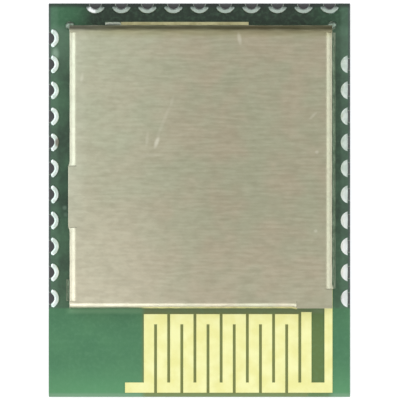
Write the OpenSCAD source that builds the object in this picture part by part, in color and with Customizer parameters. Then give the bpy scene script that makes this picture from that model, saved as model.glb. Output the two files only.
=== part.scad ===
// Bluetooth radio module: a circuit board with plated half-hole terminals on three
// edges, a printed meander antenna at the front and a folded shield can over the
// radio parts. Millimetres. The origin is the centre of the board's underside,
// +Z is up, +X is right and +Y runs from the antenna to the rear edge.

/* [Board] */
// Width of the board, left to right
board_w = 14.7; // [13.8:0.1:17]
// Length of the board, from the antenna end to the rear edge
board_l = 19.2; // [18.6:0.1:24]
// Thickness of the board with its solder mask
board_t = 0.8; // [0.4:0.1:1.6]
// Thickness of the copper lands and traces
copper_t = 0.04; // [0.02:0.01:0.08]

/* [Edge terminals] */
// Distance between neighbouring terminals
pitch = 1.27; // [1.1:0.01:1.27]
// Terminals on the right edge, and opposite them on the left edge
side_count = 10; // [2:1:11]
// Further terminals at the rear end of the left row
left_extra = 1; // [0:1:1]
// Terminals on the rear edge
rear_count = 10; // [2:1:10]
// Distance from the rear edge to the first terminal of the right row
side_start = 2.965; // [2:0.005:3.5]
// Sideways shift of the rear row from the middle of the board
rear_shift = 0.635; // [0:0.005:0.635]
// Radius of the open half hole inside its plating
hole_r = 0.28; // [0.2:0.01:0.34]
// Thickness of the plating in the half hole
plating = 0.035; // [0.02:0.005:0.05]
// Outer radius of the tinned ring on the upper face
ring_r = 0.49; // [0.4:0.01:0.5]
// Height of the tin crown above the board
tin_h = 0.06; // [0.04:0.01:0.09]
// Angle by which each end of a ring stops short of the board's edge
ring_end = 16; // [5:1:30]
// Distance from the edge to the face of the solder that fills a right-hand half hole
plug_setback = 0.09; // [0.05:0.01:0.15]
// Width of the soldering foot under a terminal
foot_w = 0.8; // [0.7:0.05:0.9]
// Length of the soldering foot from the edge of the board
foot_l = 1.2; // [0.9:0.1:1.6]

/* [Shield can] */
// Distance from the left edge of the board to the can
can_left_margin = 1.02; // [0.85:0.01:1.2]
// Distance from the right edge of the board to the can
can_right_margin = 0.88; // [0.8:0.01:1.1]
// Outer length of the can
can_l = 13.8; // [12.6:0.1:14.4]
// Height of the can from its feet to its top
can_h = 1.4; // [1.2:0.1:2.4]
// Thickness of the sheet metal
sheet = 0.2; // [0.1:0.02:0.24]
// Outer radius of the bends
bend_r = 0.35; // [0.3:0.01:0.5]
// Distance from the rear edge of the board to the can
can_rear_margin = 1.07; // [0.9:0.01:1.4]
// Width of the gap in the left wall
window_w = 3.01; // [2:0.01:4]
// Distance from the front of the can to the middle of that gap
window_to_front = 5.44; // [4:0.01:7]
// How far the flat edge over the gap stands out past the wall
tab_reach = 0.06; // [0:0.01:0.1]
// Length of the front wall that is left out at the antenna corner
corner_open_front = 1.73; // [1.5:0.01:2.4]
// Length of the right wall that is left out at the antenna corner
corner_open_right = 0.95; // [0.7:0.01:1.6]
// Slit between the end of a bend and the flat edge beside it
slit = 0.03; // [0.02:0.01:0.12]
// Gap between the edges of two walls that meet at a corner
corner_gap = 0.05; // [0.02:0.01:0.08]
// Height of the notch that is left open below the bends at such a corner
corner_notch = 0.12; // [0.05:0.01:0.3]

/* [Ground land and solder] */
// How far the ground land reaches inside the walls
land_inside = 0.15; // [0.05:0.01:0.2]
// How far the ground land shows outside a wall
apron = 0.17; // [0.14:0.01:0.2]
// Length of the strip of land that shows behind the rear wall
rear_strip = 7; // [4:0.1:9]
// Sideways shift of that strip from the middle of the can
rear_strip_shift = -1.17; // [-1.5:0.01:1]
// Length of its left end that is tinned
rear_tin = 0.78; // [0.3:0.01:1.5]
// Length of the solder fillet at the front end of the left wall
left_tin = 1.05; // [0.4:0.01:2]
// Height and width of the solder fillets
fillet = 0.13; // [0.06:0.01:0.14]
// Radius of the solder beads at the rear corners
bead_r = 0.2; // [0.12:0.01:0.24]
// Height of these beads
bead_h = 0.14; // [0.08:0.01:0.18]

/* [Antenna] */
// Width of the antenna trace
trace_w = 0.5; // [0.35:0.01:0.52]
// Gap between neighbouring bars of the meander
trace_gap = 0.14; // [0.12:0.01:0.2]
// Upright bars, the feed leg counted as the first
bar_count = 13; // [5:2:15]
// Distance from the front edge of the board to the antenna
antenna_edge = 0.2; // [0.15:0.01:0.6]
// Distance from the meander to the front of the can
meander_gap = 0.29; // [0.2:0.01:0.6]
// Distance from the feed leg to the front of the can
feed_gap = 0.19; // [0.1:0.01:0.4]
// Width of the ground leg
leg_w = 0.39; // [0.3:0.01:0.5]
// Distance from the middle of the ground leg to the right face of the can
leg_inset = 0.17; // [0.1:0.01:0.25]
// Distance between the middles of the feed leg and the ground leg
leg_spacing = 1.08; // [0.9:0.01:1.3]
// Length of the foot at the free end of the meander
tail_l = 0.92; // [0.5:0.01:1.5]

/* [Radio parts] */
// Distance from the inside of a wall to the nearest part
edge_gap = 0.5; // [0.45:0.01:0.6]
// Distance between neighbouring parts
part_gap = 0.6; // [0.5:0.01:0.65]
// How far a land reaches out past its part
land_out = 0.18; // [0.1:0.01:0.2]
// Width of the square radio chip
chip_w = 5; // [4.5:0.1:5.5]
// Height of the radio chip
chip_h = 0.85; // [0.6:0.05:0.95]
// Leads on each side of the radio chip
chip_leads = 8; // [6:1:8]
// Distance between its leads
chip_step = 0.5; // [0.4:0.01:0.52]
// Width of its leads
chip_lead_w = 0.25; // [0.15:0.01:0.3]
// Length of its leads
chip_lead_l = 0.4; // [0.3:0.01:0.5]
// Width of the square heat pad under it
heat_pad = 3.4; // [2.5:0.1:3.6]
// Thickness of the leads of both chips
lead_t = 0.2; // [0.1:0.01:0.25]
// Width of the memory chip
memory_w = 6; // [5.5:0.1:6.2]
// Length of the memory chip
memory_l = 5; // [4.5:0.1:5.2]
// Height of the memory chip
memory_h = 0.75; // [0.5:0.05:0.95]
// Leads on each side of the memory chip
memory_leads = 4; // [2:1:4]
// Distance between its leads
memory_step = 1.1; // [0.8:0.01:1.27]
// Width of its leads
memory_lead_w = 0.4; // [0.3:0.01:0.5]
// Length of its leads
memory_lead_l = 0.6; // [0.4:0.01:0.8]
// Width of the crystal
crystal_w = 3.2; // [2.5:0.1:3.6]
// Length of the crystal
crystal_l = 2.5; // [2:0.1:2.8]
// Height of its ceramic base
crystal_base_h = 0.5; // [0.3:0.05:0.6]
// Height of its metal lid
crystal_lid_h = 0.25; // [0.15:0.01:0.35]
// Step from the edge of the base to the lid
crystal_rim = 0.18; // [0.1:0.01:0.25]
// Radius of the notches in the corners of the base
crystal_notch = 0.2; // [0.1:0.01:0.25]
// Width of the band filter
filter_w = 1.25; // [1:0.05:1.4]
// Length of the band filter
filter_l = 2; // [1.6:0.1:2.2]
// Height of the band filter
filter_h = 0.85; // [0.6:0.05:0.95]
// Length of the small chip parts
part_l = 1; // [0.8:0.05:1.1]
// Width of the small chip parts
part_w = 0.5; // [0.4:0.05:0.55]
// Height of the capacitors and coils
part_h = 0.5; // [0.3:0.05:0.8]
// Height of the resistors
resistor_h = 0.35; // [0.25:0.05:0.6]
// Length of the metal end of a small part
end_l = 0.25; // [0.15:0.01:0.3]
// Depth by which the body of a small part lies below its metal ends
body_step = 0.02; // [0.01:0.01:0.05]
// Distance between rows of small parts
row_step = 1; // [0.9:0.05:1.1]

/* [Hidden] */
$fn = 64;
// Overshoot of cutting shapes
cut = 0.5;

drill_r = hole_r + plating;
can_w = board_w - can_left_margin - can_right_margin;
can_x = (can_left_margin - can_right_margin) / 2;
can_y = board_l / 2 - can_rear_margin - can_l / 2;
can_front = can_y - can_l / 2;
can_z = board_t + copper_t;

// Local frame of a terminal: the hole's centre on the board's edge, +Y into the board.
// Each entry is the name, the place, the turn and whether solder fills the hole.
function side_y(i) = board_l / 2 - side_start - (i - 1) * pitch;
function rear_x(i) = (i - (rear_count + 1) / 2) * pitch + rear_shift;
TERMINALS = concat(
    [for (i = [1 : side_count + left_extra])
        [str("left_terminal_", i), [-board_w / 2, side_y(i - left_extra)], -90, false]],
    [for (i = [1 : rear_count]) [str("rear_terminal_", i), [rear_x(i), board_l / 2], 180, false]],
    [for (i = [1 : side_count]) [str("right_terminal_", i), [board_w / 2, side_y(i)], 90, true]]
);

// Walls of the can, each in a frame that is turned to its side: +X along the wall,
// -Y outwards. Each entry is the turn, the distance of the outer face from the can's
// centre, where the bend starts and ends, and how far the wall below the bend reaches
// past its start and its end to close a corner. The front and rear bends run through to
// the corners, and the side walls butt against them.
window_x = can_l / 2 - window_to_front;
butt = bend_r - sheet - corner_gap;
FRONT_WALL = [0, can_l / 2, -can_w / 2, can_w / 2 - corner_open_front, 0, 0];
RIGHT_WALL = [90, can_w / 2, -can_l / 2 + corner_open_right, can_l / 2 - bend_r, 0, butt];
REAR_WALL = [180, can_l / 2, -can_w / 2, can_w / 2, 0, 0];
LEFT_REAR_WALL = [270, can_w / 2, -can_l / 2 + bend_r, window_x - window_w / 2, butt, 0];
LEFT_FRONT_WALL = [270, can_w / 2, window_x + window_w / 2, can_l / 2 - bend_r, 0, butt];
WALLS = [FRONT_WALL, RIGHT_WALL, REAR_WALL, LEFT_REAR_WALL, LEFT_FRONT_WALL];
// The same wall with the ends of its foot in place of those of its bend
function foot_of(wall) = [wall[0], wall[1], wall[2] - wall[4], wall[3] + wall[5]];
// The stretch of a wall's bend that runs on into the flat plate
function lap_of(wall) =
    let (plate_end = (wall[0] % 180 == 0 ? can_w : can_l) / 2 - bend_r)
    [wall[0], wall[1], max(wall[2], -plate_end), min(wall[3], plate_end)];

// Stretches of land that show outside the walls, and the stretches with solder on them
strip_start = -rear_strip_shift - rear_strip / 2;
strip_end = -rear_strip_shift + rear_strip / 2;
REAR_APRON = [REAR_WALL[0], REAR_WALL[1], strip_start, strip_end];
REAR_TIN = [REAR_WALL[0], REAR_WALL[1], strip_end - rear_tin, strip_end];
LEFT_TIN = [270, can_w / 2, LEFT_FRONT_WALL[3] - left_tin, LEFT_FRONT_WALL[3]];
APRONS = [REAR_APRON, RIGHT_WALL, LEFT_TIN];
FILLETS = [REAR_TIN, RIGHT_WALL, LEFT_TIN];

// Antenna, in the board's frame
can_right = board_w / 2 - can_right_margin;
leg_x = can_right - leg_inset;
feed_x = leg_x - leg_spacing;
bar_pitch = trace_w + trace_gap;
bar_bottom = -board_l / 2 + antenna_edge;
bar_top = can_front - meander_gap;
feed_top = can_front - feed_gap;
leg_top = can_front + corner_open_right;

// Radio parts, in the can's frame
inner_left = -can_w / 2 + sheet + edge_gap;
inner_right = can_w / 2 - sheet - edge_gap;
inner_front = -can_l / 2 + sheet + edge_gap;
inner_rear = can_l / 2 - sheet - edge_gap;
memory_at = [inner_left + memory_w / 2, inner_rear - memory_l / 2];
chip_left = inner_left + part_w + part_gap;
chip_at = [chip_left + chip_w / 2, inner_rear - memory_l - part_gap - chip_w / 2];
crystal_at = [inner_right - crystal_w / 2, inner_rear - crystal_l / 2];
coil_x = feed_x - can_x;
coil_y = inner_front + part_l / 2;
filter_at = [coil_x, coil_y + part_l / 2 + part_gap + filter_l / 2];
row_y = inner_rear - crystal_l - part_gap - part_w / 2;
column_x = chip_left + chip_w + part_gap + part_l / 2;
column_step = part_l + part_gap;
left_y = chip_at[1] + chip_w / 2 - part_l / 2;

// Plans of the chips: width, length, leads on the front and rear, leads on the sides,
// lead step, lead width, lead length, and width and length of the pad in the middle
CHIP = [chip_w, chip_w, chip_leads, chip_leads, chip_step, chip_lead_w, chip_lead_l, heat_pad, heat_pad];
MEMORY = [
    memory_w, memory_l, 0, memory_leads, memory_step, memory_lead_w, memory_lead_l,
    memory_w - 4 * memory_lead_l, memory_l - 2 * memory_lead_l
];

// Small parts: the name, the place, the turn from lying along X, the height and the
// colour. Three capacitors stand beside the radio chip and six in two columns to its
// right, with two resistors below them; the coils stand between the filter and the feed.
left_x = inner_left + part_w / 2;
function column_at(column, row) = [column_x + column * column_step, row_y - row * row_step];
SMALL_PARTS = concat(
    [for (i = [0 : 2]) [str("capacitor_", i + 1), [left_x, left_y - i * column_step], 90, part_h, "peru"]],
    [for (i = [0 : 5]) [str("capacitor_", i + 4), column_at(i % 2, floor(i / 2)), 0, part_h, "peru"]],
    [for (i = [0 : 1]) [str("resistor_", i + 1), column_at(i, 3), 0, resistor_h, "darkslategray"]],
    [
        ["coil_1", [coil_x, coil_y], 90, part_h, "lightsteelblue"],
        ["coil_2", [coil_x - part_w / 2 - part_gap - part_l / 2, coil_y], 0, part_h, "lightsteelblue"]
    ]
);

module at_terminal(terminal) {
    translate([terminal[1][0], terminal[1][1], 0])
        rotate(terminal[2])
            children();
}

module at_can() {
    translate([can_x, can_y, can_z])
        children();
}

// Turns to a wall and lays an upright section along its length
module along_wall(wall) {
    rotate(wall[0])
        translate([wall[2], -wall[1], 0])
            rotate([90, 0, 90])
                linear_extrude(wall[3] - wall[2])
                    children();
}

// Plan of a strip along a wall, from a distance outside its outer face to one inside it
module wall_strip(wall, outside, inside) {
    rotate(wall[0])
        translate([wall[2], -wall[1] - outside])
            square([wall[3] - wall[2], outside + inside]);
}

// Half section of a shallow spherical cap of a given radius and height
module cap_section(radius, height) {
    sphere_r = (radius * radius + height * height) / (2 * height);
    intersection() {
        translate([0, height - sphere_r])
            circle(sphere_r, $fn = 200);
        square([radius, height]);
    }
}

// Plan of the oblong soldering foot under a terminal
module foot_plan() {
    translate([-foot_w / 2, 0])
        square([foot_w, foot_l - foot_w / 2]);
    translate([0, foot_l - foot_w / 2])
        circle(foot_w / 2);
}

module circuit_board() {
    color("seagreen")
        difference() {
            linear_extrude(board_t)
                square([board_w, board_l], center = true);
            for (terminal = TERMINALS)
                at_terminal(terminal) {
                    translate([0, 0, -cut])
                        cylinder(r = drill_r, h = board_t + 2 * cut);
                    translate([0, 0, -cut])
                        linear_extrude(cut + copper_t)
                            foot_plan();
                }
        }
}

// Crown of tin round an open half hole, with a rounded section
module tin_ring() {
    ring_w = ring_r - hole_r;
    crown_r = (ring_w * ring_w / 4 + tin_h * tin_h) / (2 * tin_h);
    translate([0, 0, board_t])
        rotate(ring_end)
            rotate_extrude(angle = 180 - 2 * ring_end)
                intersection() {
                    translate([hole_r + ring_w / 2, tin_h - crown_r])
                        circle(crown_r);
                    translate([hole_r, 0])
                        square([ring_w, tin_h]);
                }
}

// Solder that fills a half hole and domes over its ring
module solder_plug() {
    intersection() {
        union() {
            cylinder(r = hole_r + plating / 2, h = board_t);
            translate([0, 0, board_t])
                rotate_extrude()
                    cap_section(ring_r, tin_h);
        }
        translate([-ring_r, plug_setback, 0])
            cube([2 * ring_r, ring_r, board_t + tin_h]);
    }
}

// Plated half hole with its foot below and its tin above
module edge_terminal(filled) {
    color("gainsboro") {
        rotate_extrude(angle = 180)
            translate([hole_r, 0])
                square([plating, board_t]);
        linear_extrude(copper_t)
            difference() {
                foot_plan();
                circle(hole_r);
            }
        if (filled)
            solder_plug();
        else
            tin_ring();
    }
}

// Section across a wall: the foot at the origin, the outer face on the left, a bend at
// the top and, where it is joined to the plate, a lap into that plate
module wall_section(joined) {
    square([sheet, can_h - bend_r]);
    translate([bend_r, can_h - bend_r])
        intersection() {
            difference() {
                circle(bend_r);
                circle(bend_r - sheet);
            }
            translate([-bend_r, 0])
                square(bend_r);
        }
    if (joined)
        translate([bend_r, can_h - sheet])
            square(sheet);
}

// Plan of the flat top: between the bends, with the edges that stay flat over the
// gap in the left wall and at the antenna corner
module plate_plan() {
    square([can_w - 2 * bend_r, can_l - 2 * bend_r], center = true);
    wall_strip([270, can_w / 2, LEFT_REAR_WALL[3] + slit, LEFT_FRONT_WALL[2] - slit], tab_reach, bend_r);
    wall_strip([0, can_l / 2, FRONT_WALL[3] + slit, can_w / 2], 0, bend_r);
    wall_strip([90, can_w / 2, -can_l / 2, RIGHT_WALL[2] - slit], 0, bend_r);
}

// Wall below its bend, longer than the bend where it closes a corner
module wall_panel(wall) {
    linear_extrude(can_h - bend_r - corner_notch)
        wall_strip(foot_of(wall), 0, sheet);
}

module shield_can() {
    color("tan")
        at_can() {
            translate([0, 0, can_h - sheet])
                linear_extrude(sheet)
                    plate_plan();
            for (wall = WALLS) {
                along_wall(wall)
                    wall_section(false);
                along_wall(lap_of(wall))
                    wall_section(true);
                wall_panel(wall);
            }
        }
}

// Outer rear corners of the can, in frames where the can lies at -X and -Y
module at_rear_corners() {
    for (side = [0, 1])
        mirror([side, 0, 0])
            translate([can_w / 2, can_l / 2, 0])
                children();
}

module ground_land() {
    color("gold")
        at_can()
            translate([0, 0, -copper_t])
                linear_extrude(copper_t) {
                    for (wall = WALLS)
                        wall_strip(foot_of(wall), 0, sheet + land_inside);
                    for (stretch = APRONS)
                        wall_strip(stretch, apron, sheet);
                    at_rear_corners()
                        circle(bead_r);
                }
}

module shield_solder() {
    color("silver")
        at_can() {
            for (stretch = FILLETS)
                along_wall(stretch)
                    difference() {
                        translate([-fillet, 0])
                            square(fillet);
                        translate([-fillet, fillet])
                            circle(fillet);
                    }
            at_rear_corners()
                rotate(-90)
                    rotate_extrude(angle = 270)
                        cap_section(bead_r, bead_h);
        }
}

// Plan of the antenna: upright bars joined at alternate ends, a foot at the free end,
// and a ground leg joined to the feed leg along the front edge
module antenna_plan() {
    for (bar = [0 : bar_count - 1])
        translate([feed_x - bar * bar_pitch - trace_w / 2, bar_bottom])
            square([trace_w, (bar == 0 ? feed_top : bar_top) - bar_bottom]);
    for (bar = [0 : bar_count - 2])
        translate([feed_x - (bar + 1) * bar_pitch, bar % 2 == 0 ? bar_bottom : bar_top - trace_w])
            square([bar_pitch, trace_w]);
    translate([feed_x - (bar_count - 1) * bar_pitch - trace_w / 2 - tail_l, bar_bottom])
        square([tail_l + trace_w / 2, trace_w]);
    translate([leg_x - leg_w / 2, bar_bottom])
        square([leg_w, leg_top - bar_bottom]);
    translate([feed_x, bar_bottom])
        square([leg_spacing, trace_w]);
}

module antenna_trace() {
    color("khaki")
        translate([0, 0, board_t])
            linear_extrude(copper_t)
                antenna_plan();
}

// Plan of the leads and the middle pad of a chip, the leads longer by a given reach
module lead_plan(plan, reach) {
    for (turn = [0, 180]) {
        rotate(turn)
            lead_row(plan[1], plan[2], plan, reach);
        rotate(turn + 90)
            lead_row(plan[0], plan[3], plan, reach);
    }
    square([plan[7], plan[8]], center = true);
}

// One row of leads along the edge of a chip of the given depth
module lead_row(depth, count, plan, reach) {
    for (i = [0 : 1 : count - 1])
        translate([(i - (count - 1) / 2) * plan[4] - plan[5] / 2, -depth / 2 - reach])
            square([plan[5], plan[6] + reach]);
}

module chip_leads_solid(plan) {
    linear_extrude(lead_t)
        lead_plan(plan, 0);
}

// Moulded body of a chip, with its leads let into the underside
module chip_body(plan, height) {
    difference() {
        translate([-plan[0] / 2, -plan[1] / 2, 0])
            cube([plan[0], plan[1], height]);
        chip_leads_solid(plan);
    }
}

module at_part(place) {
    at_can()
        translate([place[0], place[1], 0])
            children();
}

module radio_chip() {
    color("dimgray")
        at_part(chip_at)
            chip_body(CHIP, chip_h);
}

module radio_chip_leads() {
    color("silver")
        at_part(chip_at)
            chip_leads_solid(CHIP);
}

module memory_chip() {
    color("dimgray")
        at_part(memory_at)
            chip_body(MEMORY, memory_h);
}

module memory_chip_leads() {
    color("silver")
        at_part(memory_at)
            chip_leads_solid(MEMORY);
}

module crystal_base() {
    color("wheat")
        at_part(crystal_at)
            linear_extrude(crystal_base_h)
                difference() {
                    square([crystal_w, crystal_l], center = true);
                    for (x = [-1, 1], y = [-1, 1])
                        translate([x * crystal_w / 2, y * crystal_l / 2])
                            circle(crystal_notch);
                }
}

module crystal_lid() {
    color("lightgray")
        at_part(crystal_at)
            translate([0, 0, crystal_base_h])
                linear_extrude(crystal_lid_h)
                    square([crystal_w - 2 * crystal_rim, crystal_l - 2 * crystal_rim], center = true);
}

module band_filter() {
    color("steelblue")
        at_part(filter_at)
            small_body(filter_l, filter_w, filter_h, 90);
}

// Ceramic body between two metal ends that stand slightly proud of it
module small_body(length, width, height, turn) {
    rotate(turn) {
        for (end = [-1, 1])
            translate([end * (length - end_l) / 2 - end_l / 2, -width / 2, 0])
                cube([end_l, width, height]);
        translate([-length / 2 + end_l / 2, -width / 2 + body_step, body_step])
            cube([length - end_l, width - 2 * body_step, height - 2 * body_step]);
    }
}

module small_part(part) {
    color(part[4])
        at_part(part[1])
            small_body(part_l, part_w, part[3], part[2]);
}

// Plan of the two lands under the ends of a small part
module small_lands(length, width, turn) {
    rotate(turn)
        for (end = [0, 180])
            rotate(end)
                translate([length / 2 - end_l, -width / 2])
                    square([end_l + land_out, width]);
}

// Plan of the four lands under the corners of the crystal
module crystal_lands() {
    for (x = [0, 1], y = [0, 1])
        mirror([x, 0])
            mirror([0, y])
                translate([crystal_w / 4, crystal_l / 4])
                    square([crystal_w / 4 + land_out, crystal_l / 4 + land_out]);
}

module component_lands() {
    color("silver")
        translate([can_x, can_y, board_t])
            linear_extrude(copper_t) {
                translate(chip_at)
                    lead_plan(CHIP, land_out);
                translate(memory_at)
                    lead_plan(MEMORY, land_out);
                translate(crystal_at)
                    crystal_lands();
                translate(filter_at)
                    small_lands(filter_l, filter_w, 90);
                for (part = SMALL_PARTS)
                    translate(part[1])
                        small_lands(part_l, part_w, part[2]);
            }
}

circuit_board();
antenna_trace();
ground_land();
shield_can();
shield_solder();
component_lands();
radio_chip();
radio_chip_leads();
memory_chip();
memory_chip_leads();
crystal_base();
crystal_lid();
band_filter();
for (part = SMALL_PARTS)
    small_part(part);
for (terminal = TERMINALS)
    at_terminal(terminal) edge_terminal(terminal[3]);
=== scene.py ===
import math

import bmesh
import bpy
import numpy as np
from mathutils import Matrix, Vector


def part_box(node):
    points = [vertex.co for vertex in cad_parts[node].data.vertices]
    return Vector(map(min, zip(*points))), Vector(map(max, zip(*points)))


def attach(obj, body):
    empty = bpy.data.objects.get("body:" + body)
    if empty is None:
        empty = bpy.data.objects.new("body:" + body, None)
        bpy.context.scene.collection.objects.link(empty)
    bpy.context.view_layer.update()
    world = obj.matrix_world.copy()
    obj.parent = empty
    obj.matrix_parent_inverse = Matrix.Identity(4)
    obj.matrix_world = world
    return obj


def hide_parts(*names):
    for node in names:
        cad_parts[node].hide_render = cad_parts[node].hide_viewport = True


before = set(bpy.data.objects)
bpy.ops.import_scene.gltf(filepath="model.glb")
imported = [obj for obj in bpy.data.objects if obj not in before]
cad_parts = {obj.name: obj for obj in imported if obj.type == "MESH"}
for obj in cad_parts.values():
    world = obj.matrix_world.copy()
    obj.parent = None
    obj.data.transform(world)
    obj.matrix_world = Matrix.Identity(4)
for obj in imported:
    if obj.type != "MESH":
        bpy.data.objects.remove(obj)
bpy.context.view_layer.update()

# Circuit board: glass-fibre laminate with green solder mask on both faces. It was routed out of
# a panel along three rows of plated holes, so every hole is left as a half on the edge, and a
# soldering foot is let in under each of them.
MM = 0.001
SAME_POINT = 1e-8
ARC_STEPS = 24
board_high = np.array(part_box("circuit_board")[1])
board_t = board_high[2]
copper_t = 0.04 * MM
plating = 0.035 * MM
hole_r = 0.28 * MM
drill_r = hole_r + plating
foot_w = 0.8 * MM
foot_l = 1.2 * MM
EDGES = {  # for each edge with terminals: the way along it and the way into the board
    "right": (np.array([0.0, 1.0]), np.array([-1.0, 0.0])),
    "rear": (np.array([-1.0, 0.0]), np.array([0.0, -1.0])),
    "left": (np.array([0.0, -1.0]), np.array([1.0, 0.0])),
}
# the terminals' numbers, in the order in which a loop round the board meets them
NUMBERS = {"right": range(10, 0, -1), "rear": range(10, 0, -1), "left": range(1, 12)}


def grid_faces(rows, columns, wrap=False):
    """Four-cornered faces between neighbouring points of a grid; a wrapped grid closes every row."""
    row = np.arange(rows - 1)[:, None] * columns
    next_row = row + columns
    here = np.arange(columns if wrap else columns - 1)[None, :]
    after = (here + 1) % columns
    return np.stack([row + here, row + after, next_row + after, next_row + here], -1).reshape(-1, 4)


def at_heights(flat, heights):
    """Rows of flat points, one row for each height: that height becomes the points' third number."""
    rows = [np.column_stack([row, np.full(len(row), z)]) for row, z in zip(flat, heights)]
    return np.concatenate(rows)


def half_circle(radius):
    """Half a circle as distances along and into the board: radius times cosine and times sine."""
    turn = np.linspace(math.pi, 0, ARC_STEPS + 1)
    return radius * np.column_stack([np.cos(turn), np.sin(turn)])


def foot_path():
    """Outline of a soldering foot: in along a straight side, round half a circle, back along the other."""
    side = np.linspace(0, foot_l - foot_w / 2, ARC_STEPS // 4 + 1)[:-1]
    edge = np.ones(len(side))
    turn = np.linspace(math.pi, 0, ARC_STEPS // 2 + 1)
    along = np.concatenate([-edge, np.cos(turn), edge]) * foot_w / 2
    inward = np.concatenate([side, foot_l - foot_w / 2 * (1 - np.sin(turn)), side[::-1]])
    return np.column_stack([along, inward])


def edge_place(side, number):
    """Where a terminal's hole is centred: the middle of its box, moved out onto the board's edge."""
    inward = EDGES[side][1]
    low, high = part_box(f"{side}_terminal_{number}")
    middle = (np.array(low) + np.array(high))[:2] / 2
    return middle - inward * (middle @ inward + np.abs(inward) @ board_high[:2])


def on_board(local, side, number):
    """Distances along and into the board at a terminal, turned into the board's own X and Y."""
    return edge_place(side, number) + local @ np.array(EDGES[side])


def board_loop(stretch):
    """One loop round the board, against the clock: straight between the corners, with the given
    stretch of outline set in at every terminal between two points as far apart as a foot is wide."""
    stretch = np.vstack([[-foot_w / 2, 0], stretch, [foot_w / 2, 0]])
    corners = board_high[:2] * np.array([[-1, -1], [1, -1], [1, 1], [-1, 1]])
    loop = [corners[:1]]
    for corner, side in zip(corners[1:], EDGES):
        loop += [corner[None]] + [on_board(stretch, side, number) for number in NUMBERS[side]]
    return np.concatenate(loop)


def add(tree, kind, inputs, **settings):
    """A shader node of that kind; its inputs are set to values or linked to other nodes' outputs."""
    node = tree.nodes.new("ShaderNode" + kind)
    for name, value in settings.items():
        setattr(node, name, value)
    for key, value in inputs.items():
        if isinstance(value, bpy.types.NodeSocket):
            tree.links.new(value, node.inputs[key])
        else:
            node.inputs[key].default_value = value
    return node


def split(tree, vector):
    """The X, Y and Z of a vector, as outputs with those names."""
    return add(tree, "SeparateXYZ", {"Vector": vector}).outputs


def maths(tree, operation, first, second=0.0):
    """One step of arithmetic on two numbers or outputs."""
    return add(tree, "Math", {0: first, 1: second}, operation=operation).outputs[0]


def product(tree, first, *others):
    """Numbers or outputs multiplied together, one after the other."""
    for other in others:
        first = maths(tree, "MULTIPLY", first, other)
    return first


def ramp(tree, value, low, high, start=0.0, end=1.0):
    """A value that goes smoothly from start to end while the input goes from low to high."""
    inputs = {"Value": value, "From Min": low, "From Max": high, "To Min": start, "To Max": end}
    return add(tree, "MapRange", inputs, interpolation_type="SMOOTHSTEP").outputs[0]


def blend(tree, share, first, second):
    """A colour between two: that share of the second and the rest of the first. The colours of a mix
    node are its inputs 6 and 7 and its output 2."""
    return add(tree, "Mix", {0: share, 6: first, 7: second}, data_type="RGBA").outputs[2]


def noise(tree, place, scale, stretch=(1, 1, 1), detail=3.0, rough=0.55):
    """Cloudy noise from 0 to 1; scale is per millimetre, and a stretch above 1 crowds it that way."""
    squeezed = add(tree, "Mapping", {"Vector": place, "Scale": stretch}).outputs[0]
    inputs = {"Vector": squeezed, "Scale": scale, "Detail": detail, "Roughness": rough}
    return add(tree, "TexNoise", inputs).outputs[0]


def spot(tree, place, middle, half, turn=0.0):
    """1 in the middle of a long round spot, falling to 0 at its half sizes; it is turned about the
    upright by that many degrees."""
    inputs = {"Vector": place, "Location": middle, "Scale": half, "Rotation": (0, 0, math.radians(turn))}
    local = add(tree, "Mapping", inputs, vector_type="TEXTURE").outputs[0]
    return add(tree, "TexGradient", {"Vector": local}, gradient_type="SPHERICAL").outputs[1]


def relief(tree, height, depth):
    """A surface normal tilted by a height from 0 to 1 that stands for that depth in millimetres."""
    return add(tree, "Bump", {"Strength": 1.0, "Distance": depth * MM, "Height": height}).outputs[0]


def colour(red, green, blue):
    """The linear colour of a screen colour given in parts of 255."""
    parts = np.array([red, green, blue]) / 255
    return (*np.where(parts <= 0.04045, parts / 12.92, ((parts + 0.055) / 1.055) ** 2.4), 1.0)


def new_finish(name, metallic, roughness):
    """A material with its node tree, its shader, and the place of a point on the object in millimetres."""
    material = bpy.data.materials.new(name)
    material.use_nodes = True
    tree = material.node_tree
    shader = tree.nodes["Principled BSDF"]
    shader.inputs["Metallic"].default_value = metallic
    shader.inputs["Roughness"].default_value = roughness
    place = add(tree, "TexCoord", {}).outputs["Object"]
    place = add(tree, "Mapping", {"Vector": place, "Scale": (1 / MM, 1 / MM, 1 / MM)}).outputs[0]
    return material, tree, shader, place


def wire(tree, shader, **outputs):
    """Links outputs to the shader's inputs, named with underscores for spaces."""
    for name, output in outputs.items():
        tree.links.new(output, shader.inputs[name.replace("_", " ")])


def weld(mesh, distance, outwards):
    """Merges points that are no further apart than the distance and, if asked, turns faces outwards."""
    form = bmesh.new()
    form.from_mesh(mesh)
    bmesh.ops.remove_doubles(form, verts=form.verts, dist=distance)
    if outwards:
        bmesh.ops.recalc_face_normals(form, faces=form.faces)
    form.to_mesh(mesh)
    form.free()


def shaded(mesh, sharp):
    """Shades a mesh smooth, except across edges that turn by more than that angle."""
    mesh.polygons.foreach_set("use_smooth", np.ones(len(mesh.polygons), bool))
    mesh.set_sharp_from_angle(angle=math.radians(sharp))


def placed(name, data):
    """A new object of the scene, at the origin, with that mesh, light or lens."""
    item = bpy.data.objects.new(name, data)
    bpy.context.scene.collection.objects.link(item)
    return item


def make_piece(name, points, faces, materials, node, kinds=None, sharp=35):
    """A closed piece that stands for one node: doubled points merge, and the faces turn outwards."""
    mesh = bpy.data.meshes.new(name)
    mesh.from_pydata(points, [], faces)
    for material in materials:
        mesh.materials.append(material)
    if kinds is not None:
        mesh.polygons.foreach_set("material_index", kinds)
    weld(mesh, SAME_POINT, outwards=True)
    shaded(mesh, sharp)
    piece = placed(name, mesh)
    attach(piece, "root")
    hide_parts(node)


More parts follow.
